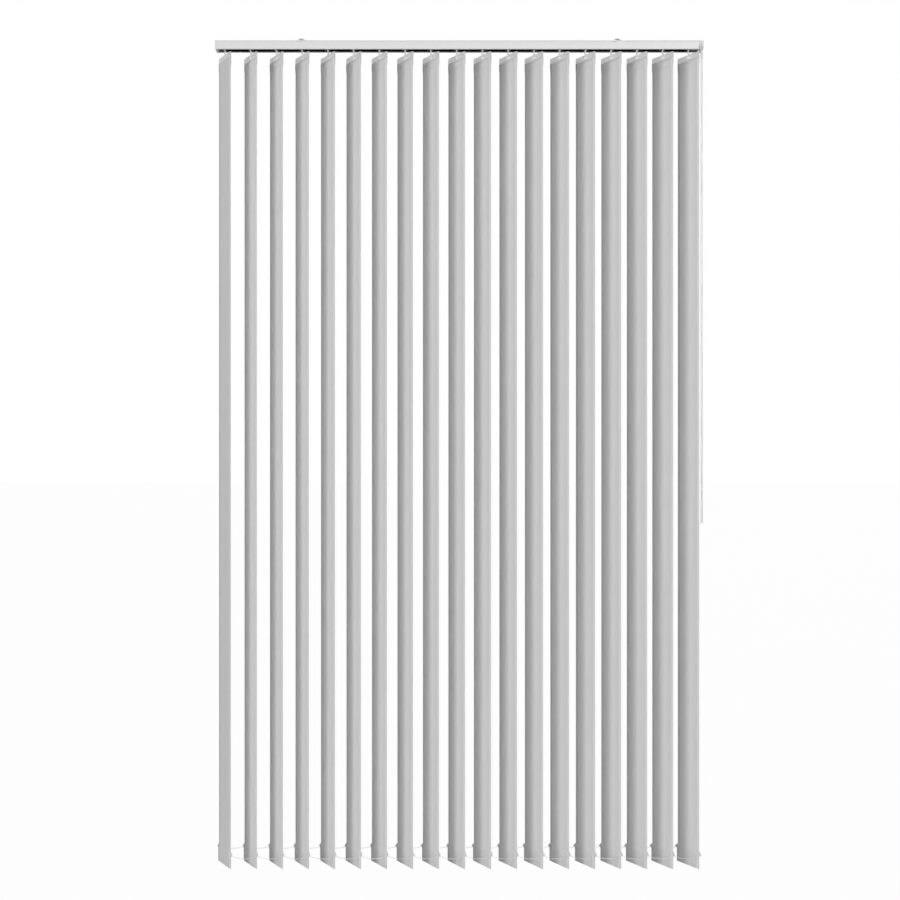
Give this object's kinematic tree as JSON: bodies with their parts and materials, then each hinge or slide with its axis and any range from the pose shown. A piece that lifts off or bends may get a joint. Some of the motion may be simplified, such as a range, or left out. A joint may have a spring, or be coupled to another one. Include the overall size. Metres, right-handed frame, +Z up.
{
  "type": "vertical blind",
  "caption": "Vertical blind with fabric vanes on a ceiling headrail, bottom weights linked by bead chains and a tilt wand at the right end.",
  "frame": {"origin": "on the ceiling plane, midway between the two ceiling screw holes", "axes": "+X along the headrail to the wand, -Y to the room, +Z up"},
  "size_m": [1.5053, 0.0906, 2.543],
  "materials": {
    "rail_paint": "satin",
    "bracket_paint": "satin",
    "zinc": "satin",
    "cap_plastic": "satin",
    "rod_metal": "satin",
    "gear_plastic": "matte",
    "carrier_plastic": "matte",
    "wand_plastic": "gloss",
    "chain_plastic": "gloss",
    "fabric": "matte"
  },
  "bodies": {
    "rail": {"headrail": "rail_paint", "end_cap_left": "cap_plastic", "control_housing": "cap_plastic", "control_cover": "cap_plastic", "bracket_left": "bracket_paint", "bracket_right": "bracket_paint", "rivets": "zinc", "carrier_01": "carrier_plastic"},
    "rod": {"tilt_rod": "rod_metal", "tilter_gear": "gear_plastic"},
    "shaft": {"tilter_shaft": "gear_plastic"},
    "collar": {"wand_collar": "wand_plastic"},
    "wand": {"wand": "wand_plastic", "wand_tip": "wand_plastic"},
    "latch_left": {"latch_left": "bracket_paint"},
    "latch_right": {"latch_right": "bracket_paint"},
    "chain_front": {"chain_front": "chain_plastic"},
    "chain_back": {"chain_back": "chain_plastic"},
    "carrier_02": {"carrier_02": "carrier_plastic"},
    "carrier_03": {"carrier_03": "carrier_plastic"},
    "carrier_04": {"carrier_04": "carrier_plastic"},
    "carrier_05": {"carrier_05": "carrier_plastic"},
    "carrier_06": {"carrier_06": "carrier_plastic"},
    "carrier_07": {"carrier_07": "carrier_plastic"},
    "carrier_08": {"carrier_08": "carrier_plastic"},
    "carrier_09": {"carrier_09": "carrier_plastic"},
    "carrier_10": {"carrier_10": "carrier_plastic"},
    "carrier_11": {"carrier_11": "carrier_plastic"},
    "carrier_12": {"carrier_12": "carrier_plastic"},
    "carrier_13": {"carrier_13": "carrier_plastic"},
    "carrier_14": {"carrier_14": "carrier_plastic"},
    "carrier_15": {"carrier_15": "carrier_plastic"},
    "carrier_16": {"carrier_16": "carrier_plastic"},
    "carrier_17": {"carrier_17": "carrier_plastic"},
    "carrier_18": {"carrier_18": "carrier_plastic"},
    "carrier_19": {"carrier_19": "carrier_plastic"},
    "vane_01": {"vane_01": "fabric"},
    "vane_02": {"vane_02": "fabric"},
    "vane_03": {"vane_03": "fabric"},
    "vane_04": {"vane_04": "fabric"},
    "vane_05": {"vane_05": "fabric"},
    "vane_06": {"vane_06": "fabric"},
    "vane_07": {"vane_07": "fabric"},
    "vane_08": {"vane_08": "fabric"},
    "vane_09": {"vane_09": "fabric"},
    "vane_10": {"vane_10": "fabric"},
    "vane_11": {"vane_11": "fabric"},
    "vane_12": {"vane_12": "fabric"},
    "vane_13": {"vane_13": "fabric"},
    "vane_14": {"vane_14": "fabric"},
    "vane_15": {"vane_15": "fabric"},
    "vane_16": {"vane_16": "fabric"},
    "vane_17": {"vane_17": "fabric"},
    "vane_18": {"vane_18": "fabric"},
    "vane_19": {"vane_19": "fabric"}
  },
  "joints": [
    {"name": "traverse", "type": "slide", "parent": "rail", "child": "carrier_19", "axis": [1, 0, 0], "range_m": [-1.1052, 0], "deforming": ["chain_front", "chain_back"]},
    {"name": "carrier_02_run", "type": "slide", "parent": "rail", "child": "carrier_02", "axis": [1, 0, 0], "range_m": [-0.06141, 0]},
    {"name": "carrier_03_run", "type": "slide", "parent": "rail", "child": "carrier_03", "axis": [1, 0, 0], "range_m": [-0.12281, 0]},
    {"name": "carrier_04_run", "type": "slide", "parent": "rail", "child": "carrier_04", "axis": [1, 0, 0], "range_m": [-0.18421, 0]},
    {"name": "carrier_05_run", "type": "slide", "parent": "rail", "child": "carrier_05", "axis": [1, 0, 0], "range_m": [-0.24561, 0]},
    {"name": "carrier_06_run", "type": "slide", "parent": "rail", "child": "carrier_06", "axis": [1, 0, 0], "range_m": [-0.30701, 0]},
    {"name": "carrier_07_run", "type": "slide", "parent": "rail", "child": "carrier_07", "axis": [1, 0, 0], "range_m": [-0.36841, 0]},
    {"name": "carrier_08_run", "type": "slide", "parent": "rail", "child": "carrier_08", "axis": [1, 0, 0], "range_m": [-0.42981, 0]},
    {"name": "carrier_09_run", "type": "slide", "parent": "rail", "child": "carrier_09", "axis": [1, 0, 0], "range_m": [-0.49121, 0]},
    {"name": "carrier_10_run", "type": "slide", "parent": "rail", "child": "carrier_10", "axis": [1, 0, 0], "range_m": [-0.55261, 0]},
    {"name": "carrier_11_run", "type": "slide", "parent": "rail", "child": "carrier_11", "axis": [1, 0, 0], "range_m": [-0.61401, 0]},
    {"name": "carrier_12_run", "type": "slide", "parent": "rail", "child": "carrier_12", "axis": [1, 0, 0], "range_m": [-0.67541, 0]},
    {"name": "carrier_13_run", "type": "slide", "parent": "rail", "child": "carrier_13", "axis": [1, 0, 0], "range_m": [-0.73681, 0]},
    {"name": "carrier_14_run", "type": "slide", "parent": "rail", "child": "carrier_14", "axis": [1, 0, 0], "range_m": [-0.79821, 0]},
    {"name": "carrier_15_run", "type": "slide", "parent": "rail", "child": "carrier_15", "axis": [1, 0, 0], "range_m": [-0.85961, 0]},
    {"name": "carrier_16_run", "type": "slide", "parent": "rail", "child": "carrier_16", "axis": [1, 0, 0], "range_m": [-0.92101, 0]},
    {"name": "carrier_17_run", "type": "slide", "parent": "rail", "child": "carrier_17", "axis": [1, 0, 0], "range_m": [-0.98241, 0]},
    {"name": "carrier_18_run", "type": "slide", "parent": "rail", "child": "carrier_18", "axis": [1, 0, 0], "range_m": [-1.04381, 0]},
    {"name": "vane_01_tilt", "type": "hinge", "parent": "rail", "child": "vane_01", "pos_m": [-0.7223, 0, -0.0456], "axis": [0, 0, 1], "range_deg": [-112.1, 42.9]},
    {"name": "vane_02_tilt", "type": "hinge", "parent": "carrier_02", "child": "vane_02", "pos_m": [-0.6429, 0, -0.0456], "axis": [0, 0, 1], "range_deg": [-112.11, 42.91]},
    {"name": "vane_03_tilt", "type": "hinge", "parent": "carrier_03", "child": "vane_03", "pos_m": [-0.5635, 0, -0.0456], "axis": [0, 0, 1], "range_deg": [-112.11, 42.91]},
    {"name": "vane_04_tilt", "type": "hinge", "parent": "carrier_04", "child": "vane_04", "pos_m": [-0.4841, 0, -0.0456], "axis": [0, 0, 1], "range_deg": [-112.11, 42.91]},
    {"name": "vane_05_tilt", "type": "hinge", "parent": "carrier_05", "child": "vane_05", "pos_m": [-0.4047, 0, -0.0456], "axis": [0, 0, 1], "range_deg": [-112.11, 42.91]},
    {"name": "vane_06_tilt", "type": "hinge", "parent": "carrier_06", "child": "vane_06", "pos_m": [-0.3253, 0, -0.0456], "axis": [0, 0, 1], "range_deg": [-112.11, 42.91]},
    {"name": "vane_07_tilt", "type": "hinge", "parent": "carrier_07", "child": "vane_07", "pos_m": [-0.2459, 0, -0.0456], "axis": [0, 0, 1], "range_deg": [-112.11, 42.91]},
    {"name": "vane_08_tilt", "type": "hinge", "parent": "carrier_08", "child": "vane_08", "pos_m": [-0.1665, 0, -0.0456], "axis": [0, 0, 1], "range_deg": [-112.11, 42.91]},
    {"name": "vane_09_tilt", "type": "hinge", "parent": "carrier_09", "child": "vane_09", "pos_m": [-0.0871, 0, -0.0456], "axis": [0, 0, 1], "range_deg": [-112.11, 42.91]},
    {"name": "vane_10_tilt", "type": "hinge", "parent": "carrier_10", "child": "vane_10", "pos_m": [-0.0077, 0, -0.0456], "axis": [0, 0, 1], "range_deg": [-112.11, 42.91]},
    {"name": "vane_11_tilt", "type": "hinge", "parent": "carrier_11", "child": "vane_11", "pos_m": [0.0717, 0, -0.0456], "axis": [0, 0, 1], "range_deg": [-112.11, 42.91]},
    {"name": "vane_12_tilt", "type": "hinge", "parent": "carrier_12", "child": "vane_12", "pos_m": [0.1511, 0, -0.0456], "axis": [0, 0, 1], "range_deg": [-112.11, 42.91]},
    {"name": "vane_13_tilt", "type": "hinge", "parent": "carrier_13", "child": "vane_13", "pos_m": [0.2305, 0, -0.0456], "axis": [0, 0, 1], "range_deg": [-112.11, 42.91]},
    {"name": "vane_14_tilt", "type": "hinge", "parent": "carrier_14", "child": "vane_14", "pos_m": [0.3099, 0, -0.0456], "axis": [0, 0, 1], "range_deg": [-112.11, 42.91]},
    {"name": "vane_15_tilt", "type": "hinge", "parent": "carrier_15", "child": "vane_15", "pos_m": [0.3893, 0, -0.0456], "axis": [0, 0, 1], "range_deg": [-112.11, 42.91]},
    {"name": "vane_16_tilt", "type": "hinge", "parent": "carrier_16", "child": "vane_16", "pos_m": [0.4687, 0, -0.0456], "axis": [0, 0, 1], "range_deg": [-112.11, 42.91]},
    {"name": "vane_17_tilt", "type": "hinge", "parent": "carrier_17", "child": "vane_17", "pos_m": [0.5481, 0, -0.0456], "axis": [0, 0, 1], "range_deg": [-112.11, 42.91]},
    {"name": "vane_18_tilt", "type": "hinge", "parent": "carrier_18", "child": "vane_18", "pos_m": [0.6275, 0, -0.0456], "axis": [0, 0, 1], "range_deg": [-112.11, 42.91]},
    {"name": "vane_19_tilt", "type": "hinge", "parent": "carrier_19", "child": "vane_19", "pos_m": [0.7069, 0, -0.0456], "axis": [0, 0, 1], "range_deg": [-112.11, 42.91]},
    {"name": "rod_turn", "type": "hinge", "parent": "rail", "child": "rod", "pos_m": [0, -0.0086, -0.0185], "axis": [1, 0, 0], "range_deg": [-336.35, 128.75]},
    {"name": "shaft_turn", "type": "hinge", "parent": "rail", "child": "shaft", "pos_m": [0.7394, -0.01613, -0.01415], "axis": [0, -0.5, -0.866], "range_deg": [-772.25, 2017.85]},
    {"name": "wand_turn", "type": "hinge", "parent": "collar", "child": "wand", "pos_m": [0.7394, -0.03898, -0.05373], "axis": [0, 0, 1], "range_deg": [-2017.85, 772.25]},
    {"name": "chain_front_turn", "type": "hinge", "parent": "vane_01", "child": "chain_front", "pos_m": [-0.69431, -0.04058, -2.5], "axis": [0, 0, 1], "range_deg": [-42.95, 112.15]},
    {"name": "chain_back_turn", "type": "hinge", "parent": "vane_01", "child": "chain_back", "pos_m": [-0.75257, 0.04387, -2.5], "axis": [0, 0, 1], "range_deg": [-42.95, 112.15]},
    {"name": "wand_swing", "type": "hinge", "parent": "rail", "child": "collar", "pos_m": [0.7394, -0.03898, -0.05373], "axis": [1, 0, 0], "range_deg": [-50, 0]},
    {"name": "latch_left_turn", "type": "hinge", "parent": "rail", "child": "latch_left", "pos_m": [-0.485, 0.0233, -0.0084], "axis": [0, 0, 1], "range_deg": [0, 90]},
    {"name": "latch_right_turn", "type": "hinge", "parent": "rail", "child": "latch_right", "pos_m": [0.485, 0.0233, -0.0084], "axis": [0, 0, 1], "range_deg": [0, 90]}
  ],
  "couplings": [
    {"joint": "carrier_02_run", "follows": "traverse", "ratio": 0.055556},
    {"joint": "carrier_03_run", "follows": "traverse", "ratio": 0.11111},
    {"joint": "carrier_04_run", "follows": "traverse", "ratio": 0.16667},
    {"joint": "carrier_05_run", "follows": "traverse", "ratio": 0.22222},
    {"joint": "carrier_06_run", "follows": "traverse", "ratio": 0.27778},
    {"joint": "carrier_07_run", "follows": "traverse", "ratio": 0.33333},
    {"joint": "carrier_08_run", "follows": "traverse", "ratio": 0.38889},
    {"joint": "carrier_09_run", "follows": "traverse", "ratio": 0.44444},
    {"joint": "carrier_10_run", "follows": "traverse", "ratio": 0.5},
    {"joint": "carrier_11_run", "follows": "traverse", "ratio": 0.55556},
    {"joint": "carrier_12_run", "follows": "traverse", "ratio": 0.61111},
    {"joint": "carrier_13_run", "follows": "traverse", "ratio": 0.66667},
    {"joint": "carrier_14_run", "follows": "traverse", "ratio": 0.72222},
    {"joint": "carrier_15_run", "follows": "traverse", "ratio": 0.77778},
    {"joint": "carrier_16_run", "follows": "traverse", "ratio": 0.83333},
    {"joint": "carrier_17_run", "follows": "traverse", "ratio": 0.88889},
    {"joint": "carrier_18_run", "follows": "traverse", "ratio": 0.94444},
    {"joint": "vane_02_tilt", "follows": "vane_01_tilt", "ratio": 1},
    {"joint": "vane_03_tilt", "follows": "vane_01_tilt", "ratio": 1},
    {"joint": "vane_04_tilt", "follows": "vane_01_tilt", "ratio": 1},
    {"joint": "vane_05_tilt", "follows": "vane_01_tilt", "ratio": 1},
    {"joint": "vane_06_tilt", "follows": "vane_01_tilt", "ratio": 1},
    {"joint": "vane_07_tilt", "follows": "vane_01_tilt", "ratio": 1},
    {"joint": "vane_08_tilt", "follows": "vane_01_tilt", "ratio": 1},
    {"joint": "vane_09_tilt", "follows": "vane_01_tilt", "ratio": 1},
    {"joint": "vane_10_tilt", "follows": "vane_01_tilt", "ratio": 1},
    {"joint": "vane_11_tilt", "follows": "vane_01_tilt", "ratio": 1},
    {"joint": "vane_12_tilt", "follows": "vane_01_tilt", "ratio": 1},
    {"joint": "vane_13_tilt", "follows": "vane_01_tilt", "ratio": 1},
    {"joint": "vane_14_tilt", "follows": "vane_01_tilt", "ratio": 1},
    {"joint": "vane_15_tilt", "follows": "vane_01_tilt", "ratio": 1},
    {"joint": "vane_16_tilt", "follows": "vane_01_tilt", "ratio": 1},
    {"joint": "vane_17_tilt", "follows": "vane_01_tilt", "ratio": 1},
    {"joint": "vane_18_tilt", "follows": "vane_01_tilt", "ratio": 1},
    {"joint": "vane_19_tilt", "follows": "vane_01_tilt", "ratio": 1},
    {"joint": "rod_turn", "follows": "vane_01_tilt", "ratio": 3},
    {"joint": "shaft_turn", "follows": "vane_01_tilt", "ratio": -18},
    {"joint": "wand_turn", "follows": "vane_01_tilt", "ratio": 18},
    {"joint": "chain_front_turn", "follows": "vane_01_tilt", "ratio": -1},
    {"joint": "chain_back_turn", "follows": "vane_01_tilt", "ratio": -1}
  ]
}
